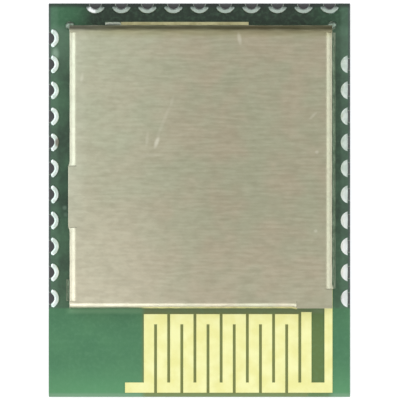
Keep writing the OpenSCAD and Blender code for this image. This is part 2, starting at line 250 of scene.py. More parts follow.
mask_finish, tree, shader, place = new_finish("solder_mask_finish", 0.0, 0.42)
axes = split(tree, place)
off_axis = maths(tree, "ABSOLUTE", axes["X"])
mottle = noise(tree, place, 0.75, detail=4)
speckle = noise(tree, place, 5.0, detail=2)

# mask over copper: paler towards the front, with painted shade behind the can and painted light in the
# board's rear corners
behind_can = (8.2, 8.7)
over_copper = blend(tree, ramp(tree, mottle, 0.32, 0.68), colour(44, 66, 49), colour(63, 96, 70))
over_copper = blend(tree, ramp(tree, axes["Y"], -3.0, -5.0, 0, 0.35), over_copper, colour(80, 116, 84))
# painted shade: the strip behind the can turns almost black-green, as in the can's shadow
over_copper = blend(tree, ramp(tree, axes["Y"], *behind_can, 0, 0.9), over_copper, colour(10, 29, 10))
# painted light: the rear corners beyond the can's ends, out of its shade, turn paler
left_corner = ramp(tree, axes["X"], -5.0, -6.2, 0, 0.75)
right_corner = ramp(tree, axes["X"], 5.0, 6.2, 0, 0.25)
corners = product(tree, maths(tree, "ADD", left_corner, right_corner), ramp(tree, axes["Y"], 5.5, 8.0),
                  ramp(tree, axes["Y"], *behind_can, 1, 0.68))
painted_corner_light = blend(tree, ramp(tree, axes["Y"], *behind_can), colour(88, 118, 94), colour(60, 117, 77))
over_copper = blend(tree, corners, over_copper, painted_corner_light)

# mask over bare laminate: paler at the front edge, browner between the antenna's folds
bare = blend(tree, ramp(tree, axes["Y"], -7.6, -9.7), colour(60, 109, 73), colour(80, 135, 90))
bare = blend(tree, ramp(tree, mottle, 0.35, 0.7, 0, 0.5), bare, colour(74, 124, 82))
bare = blend(tree, ramp(tree, axes["Y"], -9.36, -9.5, 0, 0.35), bare, colour(138, 156, 136))
folds = product(tree, ramp(tree, axes["X"], -2.9, -2.6), ramp(tree, axes["X"], 6.6, 6.2),
                ramp(tree, axes["Z"], 0.2, 0.6), ramp(tree, axes["Y"], -9.46, -9.38, 0.75, 1.0))
fold_tone = blend(tree, ramp(tree, axes["X"], 5.2, 5.4), colour(112, 118, 60), colour(85, 107, 53))
bare = blend(tree, folds, bare, fold_tone)
# painted light: the strip just in front of the can is made paler against the shade of its front wall, olive
# between the folds
before_can = product(tree, ramp(tree, off_axis, 6.6, 6.2), ramp(tree, axes["Y"], -5.62, -5.42, 0, 0.85))
painted_light_before_can = blend(tree, folds, colour(97, 138, 100), colour(99, 115, 76))
bare = blend(tree, before_can, bare, painted_light_before_can)

# both together, with a pale rim along the sides and dark cut edges
poured = ramp(tree, axes["Y"], -5.33, -5.21)
from_side = maths(tree, "SUBTRACT", board_high[0] / MM, off_axis)
from_rear = maths(tree, "SUBTRACT", board_high[1] / MM, axes["Y"])
pale_rim = product(tree, poured, ramp(tree, from_side, 0.55, 0.35, 0, 0.2))
cut_rim = product(tree, poured, ramp(tree, from_side, 0.14, 0.04, 0, 0.75))
mask = blend(tree, poured, bare, over_copper)
mask = blend(tree, ramp(tree, speckle, 0.4, 0.8, 0, 0.14), mask, colour(106, 150, 114))
mask = blend(tree, pale_rim, mask, colour(104, 136, 112))
mask = blend(tree, cut_rim, mask, colour(60, 66, 66))
mask = blend(tree, ramp(tree, from_rear, 0.26, 0.08, 0, 0.75), mask, colour(22, 28, 26))
MASK_SPOTS = [  # a smear of flux and two covered holes: middle x, y, half sizes, strength
    (-7.03, 7.14, 0.24, 0.42, 0.75),
    (-6.58, -0.37, 0.16, 0.16, 0.34),
    (-6.52, -0.7, 0.16, 0.16, 0.2),
]
for x, y, half_x, half_y, strength in MASK_SPOTS:
    patch = spot(tree, place, (x, y, board_t / MM), (half_x, half_y, 0.2))
    mask = blend(tree, ramp(tree, patch, 0.0, 0.8, 0, strength), mask, colour(140, 166, 144))

# laminate on the cut edges, between the two layers of mask
streaks = noise(tree, place, 1.0, (1.2, 1.2, 22.0), detail=4)
weave = noise(tree, place, 1.0, (7.0, 7.0, 9.0), detail=2)
laminate = blend(tree, ramp(tree, streaks, 0.35, 0.68), colour(116, 121, 82), colour(156, 157, 114))
laminate = blend(tree, ramp(tree, weave, 0.5, 0.8, 0, 0.3), laminate, colour(186, 186, 148))
half_t = board_t / MM / 2
off_middle = maths(tree, "ABSOLUTE", maths(tree, "SUBTRACT", axes["Z"], half_t))
is_mask = ramp(tree, off_middle, half_t - 0.045, half_t - 0.025)
skin = maths(tree, "ADD", product(tree, mottle, 0.5), product(tree, speckle, 0.3))
cut = product(tree, streaks, maths(tree, "SUBTRACT", 1.0, is_mask))
bumps = maths(tree, "ADD", product(tree, skin, 0.25), cut)
wire(tree, shader, Base_Color=blend(tree, is_mask, laminate, mask), Normal=relief(tree, bumps, 0.02),
     Roughness=ramp(tree, is_mask, 0, 1, 0.8, 0.42))
shader.inputs["Specular IOR Level"].default_value = 0.42

hole_loop = board_loop(half_circle(drill_r))
foot_loop = board_loop(foot_path())
loops = [foot_loop, foot_loop, hole_loop, hole_loop]
points = at_heights(loops, [0, copper_t, copper_t, board_t])
count = len(hole_loop)
underside = list(range(count))[::-1]
top = list(range(len(points) - count, len(points)))
faces = grid_faces(len(loops), count, wrap=True).tolist() + [underside, top]
make_piece("board", points, faces, [mask_finish], "circuit_board")

# Edge terminals: holes plated with copper and then cut in half by the routing, each with a foot
# underneath and a tinned ring on top. The rings of the left and rear rows have taken a rounded
# coat of tin; the half holes of the right row are filled with solder.
ring_r = 0.51 * MM
ring_end = math.radians(16)
tin_h = 0.06 * MM
lip = 0.01 * MM
dip = 0.06 * MM
sunk = 0.004 * MM
plug_base = 0.03 * MM
plug_setback = 0.09 * MM
bulge = 0.03 * MM
dome_r = 0.45 * MM
dome_h = 0.045 * MM
front_share = 0.2
CROWN_STEPS = 41
CROWN_ACROSS = 17
PLUG_ROWS = 9
PLUG_COLUMNS = 25
NOISE_SPAN = (0.3, 0.7)
row_depth = np.linspace(0, 1, PLUG_ROWS) ** 1.6

tin_finish, tree, shader, place = new_finish("terminal_tin_finish", 1.0, 0.3)
axes = split(tree, place)
lumps = noise(tree, place, 3.5, detail=2)
grain = noise(tree, place, 22.0, detail=2)
white_tin = colour(252, 255, 253)
coat = blend(tree, ramp(tree, lumps, *NOISE_SPAN), colour(208, 224, 213), colour(233, 243, 236))
# painted shade: the rear row of terminals darker, and darker still at the rear edge
coat = blend(tree, ramp(tree, axes["Y"], 8.4, 9.0, 0, 0.8), coat, colour(158, 172, 160))
coat = blend(tree, ramp(tree, axes["Y"], 9.26, 9.46, 0, 0.75), coat, colour(70, 78, 72))
# painted light: the right row's lower domes brightened towards white tin
painted_light_right_row = product(tree, ramp(tree, axes["X"], 6.0, 6.5), ramp(tree, axes["Y"], 2.0, -2.5, 0, 0.95))
coat = blend(tree, painted_light_right_row, coat, white_tin)
# painted shade on the outer rim of the right row's domes, more towards the rear
painted_shade_right_rim = product(tree, ramp(tree, axes["X"], 7.04, 7.28), ramp(tree, axes["Y"], -1.5, 2.5, 0.5, 0.65))
coat = blend(tree, painted_shade_right_rim, coat, colour(160, 173, 162))
blob = ramp(tree, spot(tree, place, (-5.27, 9.23, 0.85), (0.3, 0.3, 0.3)), 0.1, 0.6, 0, 0.95)
coat = blend(tree, blob, coat, white_tin)
stain = ramp(tree, spot(tree, place, (-6.88, 2.82, 0.85), (0.3, 0.34, 0.3)), 0.1, 0.6, 0, 0.85)
coat = blend(tree, stain, coat, colour(112, 106, 88))
bumps = maths(tree, "ADD", lumps, product(tree, grain, 0.1))
wire(tree, shader, Base_Color=coat, Roughness=ramp(tree, grain, *NOISE_SPAN, 0.3, 0.42),
     Normal=relief(tree, bumps, 0.03))

wall_finish, tree, shader, place = new_finish("hole_plating_finish", 1.0, 0.5)
grain = noise(tree, place, 18.0, detail=3)
wall = blend(tree, ramp(tree, grain, *NOISE_SPAN), colour(112, 118, 110), colour(150, 156, 146))
wire(tree, shader, Base_Color=wall, Normal=relief(tree, grain, 0.008))


def barrel():
    """Plated half hole with its foot: a closed section of wall and foot carried along half a circle,
    with a flat cap at both ends, where the cut went through. Distances along and into the board."""
    inner, outer, foot = half_circle(hole_r), half_circle(drill_r), foot_path()
    rims = [inner, inner, outer, outer, foot, foot]
    heights = [0, board_t, board_t, copper_t, copper_t, 0]
    columns = ARC_STEPS + 1
    faces = grid_faces(len(rims) + 1, columns)
    faces = faces // columns % len(rims) * columns + faces % columns
    cap = np.array([[0, 1, 2, 3], [0, 3, 4, 5]]) * columns
    return rims, heights, np.concatenate([faces, cap, cap + ARC_STEPS])


def crown():
    """Tin on a ring: across it the tin rises as 1 less the cosine's eighth power, so that it is flat on
    top and round at both rims, and it goes down further into the hole. Towards both ends it shrinks as
    a circle does."""
    turn = np.linspace(ring_end, math.pi - ring_end, CROWN_STEPS)
    middle = (hole_r - lip + ring_r) / 2
    half = (ring_r - hole_r + lip) / 2
    from_end = np.minimum(turn - ring_end, math.pi - ring_end - turn) * middle / half
    share = np.sqrt(1 - np.clip(1 - from_end, 0, 1) ** 2)[:, None]
    over = np.linspace(0, math.pi, CROWN_ACROSS)
    rise = tin_h - np.where(over < math.pi / 2, tin_h, tin_h + dip) * np.cos(over) ** 8
    across = np.append(half * np.cos(over), np.full(2, hole_r + plating / 2 - middle))
    radius = middle + share * across
    height = board_t - sunk + share * np.append(rise, [-dip, 0])
    flat = np.stack([radius * np.cos(turn)[:, None], radius * np.sin(turn)[:, None]], -1)
    return flat.reshape(-1, 2), height.ravel(), grid_faces(CROWN_STEPS, len(across), wrap=True)


def half_disc(radius):
    """Grid over a half disc, as distances along and into the board. Its front is set back from the edge,
    further towards both sides by the square of the way across; from there every column goes straight in
    to the circle: the root of the radius squared less the way along squared."""
    across = np.linspace(-1, 1, PLUG_COLUMNS)[None, :]
    depth = row_depth[:, None]
    along = across * math.sqrt(radius ** 2 - (plug_setback + bulge) ** 2)
    front = plug_setback + bulge * across ** 2
    inward = front + depth * (np.sqrt(radius ** 2 - along ** 2) - front)
    return np.stack([along + 0 * depth, inward], -1).reshape(-1, 2)


def dome_rise(flat):
    """Height of the solder over a ring: it falls with the square of the distance from the hole's middle,
    and over the front share of the rows it rounds off as a circle does."""
    rounded = np.sqrt(1 - np.clip(1 - row_depth / front_share, 0, 1) ** 2)
    return dome_h * np.repeat(rounded, PLUG_COLUMNS) * (1 - (flat ** 2).sum(axis=1) / dome_r ** 2)


def closed_slab(flat, low, high):
    """Points and faces of a closed slab on a half disc's grid: bottom, top and a rim between them."""
    count = len(flat)
    index = np.arange(count).reshape(PLUG_ROWS, PLUG_COLUMNS)
    rim = np.concatenate([index[0], index[1:, -1], index[-1, -2::-1], index[-2:0:-1, 0]])
    after = np.roll(rim, -1)
    grid = grid_faces(PLUG_ROWS, PLUG_COLUMNS)
    sides = np.column_stack([rim, after, after + count, rim + count])
    points = [np.column_stack([flat, np.full(count, height)]) for height in (low, high)]
    return np.concatenate(points), np.concatenate([grid[:, ::-1], grid + count, sides])


def gathered(shells):
    """Several shells as one mesh: the points in a row, and each shell's faces counted on from its first."""
    starts = np.cumsum([0] + [len(points) for points, faces in shells])
    faces = np.concatenate([faces + start for (points, faces), start in zip(shells, starts)])
    return np.concatenate([points for points, faces in shells]), faces


TIN, WALL = 0, 1
row_faces = PLUG_COLUMNS - 1
# of a barrel's faces the foot's side and underside, of a dome's the first two rows of its top
foot_faces = slice(4 * ARC_STEPS, 6 * ARC_STEPS)
front_faces = slice((PLUG_ROWS - 1) * row_faces, (PLUG_ROWS + 1) * row_faces)
for side in EDGES:
    for number in NUMBERS[side]:
        rims, heights, faces = barrel()
        shells = [(at_heights([on_board(rim, side, number) for rim in rims], heights), faces)]
        if side == "right":
            body, dome = half_disc(hole_r), half_disc(dome_r)
            dome_top = board_t + dome_rise(dome)
            shells.append(closed_slab(on_board(body, side, number), plug_base, board_t))
            shells.append(closed_slab(on_board(dome, side, number), board_t - sunk, dome_top))
        else:
            flat, height, faces = crown()
            shells.append((np.column_stack([on_board(flat, side, number), height]), faces))
        kinds = [np.full(len(faces), WALL) for points, faces in shells]
        kinds[0][foot_faces] = TIN
        kinds[-1][:] = TIN
        if side == "right":
            kinds[-1][front_faces] = WALL
        points, faces = gathered(shells)
        make_piece(f"{side}_half_hole_{number}", points, faces, [tin_finish, wall_finish],
                   f"{side}_terminal_{number}", np.concatenate(kinds))

# Antenna and ground land: copper etched from the board's own foil and plated with pale gold where
# the solder mask leaves it free. The antenna is folded to and fro and enters the can's open corner.
def dress(node, finish):
    """Gives the CAD mesh of that node a finish of its own."""
    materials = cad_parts[node].data.materials
    materials.clear()
    materials.append(finish)


gold_finish, tree, shader, place = new_finish("gold_plate_finish", 1.0, 0.36)
clouds = noise(tree, place, 1.3, detail=3)
grain = noise(tree, place, 16.0, detail=3)
plate = blend(tree, ramp(tree, clouds, 0.3, 0.72), colour(241, 238, 162), colour(249, 248, 184))
wire(tree, shader, Base_Color=plate, Roughness=ramp(tree, grain, *NOISE_SPAN, 0.32, 0.46),
     Normal=relief(tree, grain, 0.0015))
dress("antenna_trace", gold_finish)

land_finish, tree, shader, place = new_finish("ground_land_finish", 1.0, 0.4)
axes = split(tree, place)
clouds = noise(tree, place, 1.6, detail=3)
grain = noise(tree, place, 16.0, detail=3)
plate = blend(tree, ramp(tree, clouds, *NOISE_SPAN), colour(176, 170, 128), colour(204, 199, 154))
tinned = blend(tree, ramp(tree, clouds, *NOISE_SPAN), colour(112, 124, 106), colour(140, 152, 132))
rear_strip = product(tree, ramp(tree, axes["X"], -3.86, -3.78), ramp(tree, axes["X"], 2.5, 2.45),
                     ramp(tree, axes["Y"], 7.9, 8.0))
wire(tree, shader, Base_Color=blend(tree, rear_strip, tinned, plate),
     Roughness=ramp(tree, grain, *NOISE_SPAN, 0.32, 0.5), Normal=relief(tree, grain, 0.004))
dress("ground_land", land_finish)

# Parts under the can: two moulded chips, a crystal in a ceramic case with a metal lid, and small
# ceramic parts with plated ends, all soldered to tinned lands on the board.
SECTION_STEPS = 24
edge_r = 0.05 * MM
plated_l = 0.25 * MM


def mottled(name, metallic, first, second, scale, roughness, depth):
    """A finish in two tones of the same stuff, with a fine grain in its roughness and its relief."""
    material, tree, shader, place = new_finish(name, metallic, roughness)
    clouds = noise(tree, place, scale, detail=4)
    grain = noise(tree, place, scale * 6, detail=2)
    tone = blend(tree, ramp(tree, clouds, *NOISE_SPAN), colour(*first), colour(*second))
    wire(tree, shader, Base_Color=tone, Normal=relief(tree, grain, depth),
         Roughness=ramp(tree, grain, *NOISE_SPAN, roughness - 0.08, roughness + 0.08))
    return material


solder_finish = mottled("solder_finish", 1.0, (112, 124, 106), (148, 160, 142), 3.0, 0.5, 0.006)
mould_finish = mottled("chip_mould_finish", 0.0, (22, 22, 23), (34, 34, 35), 6.0, 0.62, 0.01)
lead_finish = mottled("lead_plate_finish", 1.0, (186, 186, 180), (214, 214, 208), 3.0, 0.36, 0.003)
case_finish = mottled("crystal_ceramic_finish", 0.0, (146, 128, 96), (172, 154, 122), 4.0, 0.6, 0.008)
lid_finish = mottled("crystal_lid_finish", 1.0, (184, 182, 174), (206, 204, 197), 3.0, 0.32, 0.006)
CAD_FINISHES = {
    "component_lands": solder_finish,
    "radio_chip": mould_finish,
    "memory_chip": mould_finish,
    "radio_chip_leads": lead_finish,
    "memory_chip_leads": lead_finish,
    "crystal_base": case_finish,
    "crystal_lid": lid_finish,
}
for node, finish in CAD_FINISHES.items():
    dress(node, finish)


def chip_part(low, high):
    """A small part between two corners: a rounded rectangle, half sizes less the radius plus the radius
    times cosine and sine, carried along the part's long way through stations that set it in or out."""
    size = high - low
    long_way = int(size[1] > size[0])
    length, width, height = size[long_way], size[1 - long_way], size[2]
    turn = np.linspace(0, 2 * math.pi, SECTION_STEPS + 1)[:-1] + math.pi / SECTION_STEPS
    ring = np.column_stack([np.cos(turn), np.sin(turn)])
    # stations of one end: how far they are from it, and how far the section is set in there
    ends = [(0, 0.05 * MM), (0.014 * MM, 0.015 * MM), (0.05 * MM, 0), (plated_l - 0.01 * MM, 0),
            (plated_l, 0.02 * MM)]
    stations = [(at - length / 2, inset) for at, inset in ends]
    stations += [(-at, inset) for at, inset in stations[::-1]]
    rows = []
    for at, inset in stations:
        half = np.array([width, height]) / 2 - inset
        section = np.sign(ring) * (half - edge_r) + edge_r * ring
        rows.append(np.column_stack([np.full(SECTION_STEPS, at), section]))
    points = np.concatenate(rows)
    if long_way:
        points = points[:, [1, 0, 2]]
    faces = grid_faces(len(stations), SECTION_STEPS, wrap=True)
    is_body = faces.min(axis=1) // SECTION_STEPS == len(ends) - 1
    caps = [list(range(SECTION_STEPS)), list(range(len(points) - SECTION_STEPS, len(points)))]
    return points + (low + high) / 2, faces.tolist() + caps, is_body.astype(int).tolist() + [0, 0]


SMALL_PARTS = {  # name: how many, slot, two tones of the body
    "capacitor": (9, "capacitor_ceramic", (132, 98, 62), (156, 120, 82)),
    "resistor": (2, "resistor_ceramic", (24, 24, 26), (38, 38, 40)),
    "coil": (2, "coil_ceramic", (132, 146, 150), (158, 168, 170)),
    "band_filter": (1, "filter_ceramic", (86, 100, 112), (106, 120, 130)),
}
for kind, (number, slot, first, second) in SMALL_PARTS.items():
    body_finish = mottled(f"{slot}_finish", 0.0, first, second, 5.0, 0.5, 0.008)
    names = [kind] if number == 1 else [f"{kind}_{index}" for index in range(1, number + 1)]
    for name in names:
        low, high = (np.array(corner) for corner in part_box(name))
        points, faces, kinds = chip_part(low, high)
        make_piece(f"{name}_body", points, faces, [lead_finish, body_finish], name, kinds)

# Shield can: one sheet of nickel silver, cut flat and folded down on four sides. The left side has
# a gap where the sheet stays flat as a short tab, and at the front right corner, over the antenna's
# end, it isn't folded at all; a slit parts each bend from the flat edge. The walls stand in solder.
can_low, can_high = (np.array(corner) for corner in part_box("shield_can"))
sheet_t = 0.2 * MM
bend_r = 0.35 * MM
tab_reach = 0.06 * MM
corner_open_front = 1.73 * MM
corner_open_right = 0.95 * MM
gap_middle = 5.44 * MM
gap_half = 3.01 * MM / 2
corner_notch = 0.12 * MM
corner_butt = 0.1 * MM
slit = 0.014 * MM
spread = 0.06 * MM
spread_l = 0.3 * MM
beside_bend = 0.03 * MM
edge_break = 0.012 * MM
LINE_DIGITS = 6
line_step = 10.0 ** -LINE_DIGITS
line_slack = 2e-7
EVEN_LINES = 25
across_bend = np.linspace(0, 1, 13)
near_slit = np.append(np.linspace(-1, 1, 13) * spread_l, [-slit, slit])

can_left = can_low[0] + tab_reach
can_mid = np.array([can_left + can_high[0], can_low[1] + can_high[1]]) / 2
can_half_w = (can_high[0] - can_left) / 2
can_half_l = (can_high[1] - can_low[1]) / 2
inner_w = can_half_w - bend_r
inner_l = can_half_l - bend_r
gap_at = can_half_l - gap_middle
gap_from = gap_at - gap_half
gap_to = gap_at + gap_half
front_end = can_half_w - corner_open_front
right_end = -can_half_l + corner_open_right
# The sides go round against the clock. Their stretches are folded down, or stay flat and reach out,
# and a wall that ends at a corner may butt against the next one.
CAN_SIDES = [
    {"along": (1, 0), "out": (0, -1), "distance": can_half_l, "reach": bend_r, "butts": (0, 0),
     "folded": [(-can_half_w, front_end)], "flat": [(front_end + slit, can_half_w)]},
    {"along": (0, 1), "out": (1, 0), "distance": can_half_w, "reach": bend_r, "butts": (0, corner_butt),
     "folded": [(right_end, inner_l)], "flat": [(-inner_l, right_end - slit)]},
    {"along": (-1, 0), "out": (0, 1), "distance": can_half_l, "reach": bend_r, "butts": (0, 0),
     "folded": [(-can_half_w, can_half_w)], "flat": []},
    {"along": (0, -1), "out": (-1, 0), "distance": can_half_w, "reach": bend_r + tab_reach,
     "butts": (corner_butt, corner_butt), "folded": [(-inner_l, gap_from), (gap_to, inner_l)],
     "flat": [(gap_from + slit, gap_to - slit)]},
]


def slit_ends(side):
    """Where along a side a folded stretch ends at a slit, and not at a corner of the can."""
    ends = np.array(side["folded"]).ravel()
    at_corner = np.isclose(np.abs(ends)[:, None], (inner_l, can_half_w)).any(axis=1)
    return ends[~at_corner]


def fold_lines(half, inner, sides):
    """Where the sheet is divided along two opposite sides: evenly, closely over the bends and beside
    them, and at and near the slits."""
    slits = [(slit_ends(side)[:, None] * sum(side["along"]) + near_slit).ravel() for side in sides]
    corners = [way * (inner + across_bend * bend_r) for way in (-1, 1)] if half > inner else []
    beside = np.array([-inner, -inner + beside_bend, inner - beside_bend, inner])
    lines = np.concatenate([np.linspace(-inner, inner, EVEN_LINES), *corners, beside, *slits])
    return np.unique(np.round(lines, LINE_DIGITS))


def within(lines, start, end):
    """Those of the lines that lie between start and end, or on one of these."""
    return lines[(lines > start - line_slack) & (lines < end + line_slack)]


def sprung(lines, side):
    """How far a folded stretch springs out along one side: by the square of the nearness to a slit."""
    away = np.abs(lines[:, None] - slit_ends(side)).min(axis=1, initial=spread_l)
    near = 1 - away / spread_l
    return spread * near ** 2


def sheet_strip(lines, side, folded):
    """Bend along one side of the can: across it the sheet turns down steadily by a quarter turn, or by
    nothing where it stays flat. The turn over the bend's radius reaches out by its sine and drops by
    1 less its cosine."""
    share = across_bend[:, None]
    turn = math.pi / 2 * share
    if folded:
        reach = bend_r * np.sin(turn) + share * sprung(lines, side)
    else:
        reach = side["reach"] * share + 0 * lines
    outward = side["distance"] - bend_r + reach
    height = can_high[2] - bend_r * (1 - np.cos(turn)) * folded + 0 * lines
    line_points = can_mid + lines[None, :, None] * np.array(side["along"])
    flat_points = line_points + outward[:, :, None] * np.array(side["out"])
    points = np.concatenate([flat_points, height[:, :, None]], -1).reshape(-1, 3)
    return points, grid_faces(len(across_bend), len(lines))[:, ::-1]


def wall_sheet(lines, heights, side):
    """Flat part of a wall, straight below its bend: a grid of places along the side by heights."""
    outward = side["distance"] + sprung(lines, side)
    line_points = can_mid + lines[:, None] * np.array(side["along"])
    flat_points = line_points + outward[:, None] * np.array(side["out"])
    points = at_heights([flat_points] * len(heights), heights)
    return points, grid_faces(len(heights), len(lines))[:, ::-1]


x_lines = fold_lines(can_half_w, inner_w, CAN_SIDES[::2])
y_lines = fold_lines(inner_l, inner_l, CAN_SIDES[1::2])
plate_x = within(x_lines, -inner_w, inner_w)
grid_x, grid_y = np.meshgrid(can_mid[0] + plate_x, can_mid[1] + y_lines)
plate_points = np.column_stack([grid_x.ravel(), grid_y.ravel(), np.full(grid_x.size, can_high[2])])
shells = [(plate_points, grid_faces(len(y_lines), len(plate_x)))]
foot_z = can_low[2]
bend_z = can_high[2] - bend_r
notch_z = bend_z - corner_notch
for side in CAN_SIDES:
    lines = np.sort((x_lines if side["along"][0] else y_lines) * sum(side["along"]))
    butt_start, butt_end = side["butts"]
    for start, end in side["folded"]:
        held = within(lines, start, end)
        shells.append(sheet_strip(held, side, True))
        shells.append(wall_sheet(held, [bend_z, bend_z - beside_bend, notch_z, foot_z], side))
        if butt_start and start == -inner_l:
            shells.append(wall_sheet(np.array([start - butt_start, start]), [notch_z, foot_z], side))
        if butt_end and end == inner_l:
            shells.append(wall_sheet(np.array([end, end + butt_end]), [notch_z, foot_z], side))
    for start, end in side["flat"]:
        shells.append(sheet_strip(within(lines, start, end), side, False))
points, faces = gathered(shells)

can_finish, tree, shader, place = new_finish("can_sheet_finish", 1.0, 0.36)
axes = split(tree, place)
rolled = noise(tree, place, 1.0, (1.0, 8.0, 8.0), detail=1, rough=0.4)
fine = noise(tree, place, 3.0, (0.8, 1.3, 1.3), detail=2)
cloud = noise(tree, place, 0.5, detail=3, rough=0.5)
haze = noise(tree, place, 1.1, (0.7, 1.3, 1.0), detail=4)
sheet = blend(tree, ramp(tree, cloud, 0.36, 0.64), colour(162, 162, 136), colour(169, 160, 136))

# painted reflection of the lamps: paler towards the left and the front and darker along the right edge;
# over the rear bend a painted reflection of the gold strip, yellow, and then painted shade
front_left = product(tree, ramp(tree, axes["X"], 0.5, -5.5), ramp(tree, axes["Y"], 0.5, -5.0, 0, 0.35))
paler = maths(tree, "ADD", ramp(tree, axes["X"], 1.5, -6.2, 0, 0.55), front_left)
reflection_tone = blend(tree, ramp(tree, axes["Y"], -3.0, 3.0), colour(206, 201, 176), colour(195, 199, 172))
sheet = blend(tree, paler, sheet, reflection_tone)
# painted highlight: a paler band along the left edge, where the sheet mirrors the left lamp
left_edge_highlight = product(tree, ramp(tree, axes["X"], -5.2, -6.3, 0, 0.26), ramp(tree, axes["Y"], -4.0, 1.0))
sheet = blend(tree, left_edge_highlight, sheet, colour(220, 222, 202))
sheet = blend(tree, ramp(tree, axes["X"], 6.0, 6.3, 0, 0.6), sheet, colour(162, 163, 138))
sheet = blend(tree, ramp(tree, axes["Y"], 0.5, -5.0, 0, 0.22), sheet, colour(204, 193, 168))
# painted reflection: the rear bend and the plate just before it tinted yellow, as if mirroring the gold
# strip behind the can
painted_gold_reflection = product(tree, ramp(tree, axes["Y"], 7.8, 8.35), ramp(tree, axes["X"], -6.0, -3.5, 0.1, 0.4))
sheet = blend(tree, painted_gold_reflection, sheet, colour(162, 154, 76))
# painted shade: a darker band where the rear bend starts
painted_bend_shade = product(tree, ramp(tree, axes["Y"], 7.9, 8.2), ramp(tree, axes["Y"], 8.42, 8.28),
                 ramp(tree, axes["X"], -6.0, 5.0, 0.1, 0.6))
sheet = blend(tree, painted_bend_shade, sheet, colour(112, 105, 80))

# haze and grain of the rolled sheet
sheet = blend(tree, ramp(tree, haze, 0.45, 0.75, 0, 0.16), sheet, colour(142, 140, 116))
sheet = blend(tree, ramp(tree, rolled, 0.28, 0.72, 0.02, 0.1), sheet, colour(216, 211, 190))
sheet = blend(tree, ramp(tree, fine, 0.35, 0.7, 0, 0.16), sheet, colour(132, 126, 104))

# scratches and handling marks: middle x, y, half length, half width, turn in degrees, strength
MARKS = [
    (-1.75, 3.82, 1.6, 0.13, 67.5, 0.08),
    (-2.08, 2.82, 0.42, 0.15, 70.0, 0.42),
    (-2.55, 2.98, 0.5, 0.12, 84.0, 0.12),
    (-1.35, 4.78, 0.5, 0.12, 75.0, 0.09),
    (1.95, 7.86, 0.4, 0.15, 100.0, 0.26),
    (5.52, 4.10, 0.4, 0.1, 45.0, 0.14),
    (5.72, 2.34, 0.14, 0.12, 0.0, 0.22),
    (5.66, -1.50, 0.14, 0.12, 0.0, 0.22),
    (-2.48, 2.20, 0.8, 0.14, 4.0, 0.11),
    (-5.72, 5.98, 0.36, 0.12, 80.0, 0.2),
]
worn = 0.0
for x, y, length, width, turn, strength in MARKS:
    mark = spot(tree, place, (x, y, can_high[2] / MM), (length, width, 0.1), turn)
    worn = maths(tree, "MAXIMUM", worn, ramp(tree, mark, 0.0, 0.8, 0, strength))
sheet = blend(tree, worn, sheet, colour(236, 233, 214))
bumps = maths(tree, "ADD", rolled, product(tree, fine, 0.5))
bumps = maths(tree, "SUBTRACT", bumps, product(tree, worn, 0.5))
wire(tree, shader, Base_Color=sheet, Roughness=ramp(tree, rolled, *NOISE_SPAN, 0.32, 0.42),
     Normal=relief(tree, bumps, 0.0018))

mesh = bpy.data.meshes.new("can")
mesh.from_pydata(points, [], faces)
mesh.materials.append(can_finish)
weld(mesh, line_step, outwards=False)
can = placed("can", mesh)
thick = can.modifiers.new("thickness", "SOLIDIFY")
thick.thickness = sheet_t
thick.offset = -1
thick.use_even_offset = True
edge = can.modifiers.new("broken_edges", "BEVEL")
edge.width = edge_break
edge.segments = 2
edge.limit_method = "ANGLE"
edge.angle_limit = math.radians(50)
solid = bpy.data.meshes.new_from_object(can.evaluated_get(bpy.context.evaluated_depsgraph_get()))
can.modifiers.clear()
can.data = solid
shaded(solid, sharp=40)
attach(can, "root")
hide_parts("shield_can")

# Solder on the can's foot: fillets drawn up between wall and land by the melt, long along the right
# wall and short on the left and behind, and a rounded bead at both rear corners.
FILLET_STEPS = 61
BEAD_STEPS = 37
ROUND_STEPS = 9
rear, right, left, front = can_high[1], can_high[0], can_left, can_low[1]
right_from = front + corner_open_right
right_to = rear - bend_r
left_from = front + bend_r
left_to = left_from + 1.05 * MM
strip_middle = can_mid[0] - 1.17 * MM
rear_from = strip_middle - 3.5 * MM
rear_to = strip_middle - 2.72 * MM
long_w = 0.17 * MM
long_h = 0.15 * MM
short_w = 0.15 * MM
short_h = 0.14 * MM
bead_r = 0.2 * MM
bead_h = 0.14 * MM


def on_land(flat, up):
    """Points at those flat places, at those heights above the land that the walls stand on."""
    return np.concatenate([flat, (foot_z + up)[:, :, None]], -1).reshape(-1, 3)


def fillet(start, end, out, width, height, wobble):
    """Fillet along the foot of a wall: a hollow quarter circle, width (1 - sine) out and height
    (1 - cosine) up, whose size swells and shrinks along the wall and closes roundly at both ends."""
    share = np.linspace(0, 1, FILLET_STEPS)[:, None]
    size = np.sqrt(np.clip(1 - np.abs(2 * share - 1) ** 8, 0, 1))
    size = size * (1 + wobble * (0.6 * np.sin(23 * share + 1) + 0.4 * np.sin(57 * share)))
    turn = np.linspace(0, math.pi / 2, ROUND_STEPS)[None, :]
    outward = np.concatenate([width * size * (1 - np.sin(turn)), np.zeros_like(size)], 1)
    up = np.concatenate([height * size * (1 - np.cos(turn)), np.zeros_like(size)], 1)
    path = np.array(start) + share * (np.array(end) - np.array(start))
    flat = path[:, None, :] + outward[:, :, None] * np.array(out)
    return on_land(flat, up), grid_faces(FILLET_STEPS, ROUND_STEPS + 1, wrap=True)


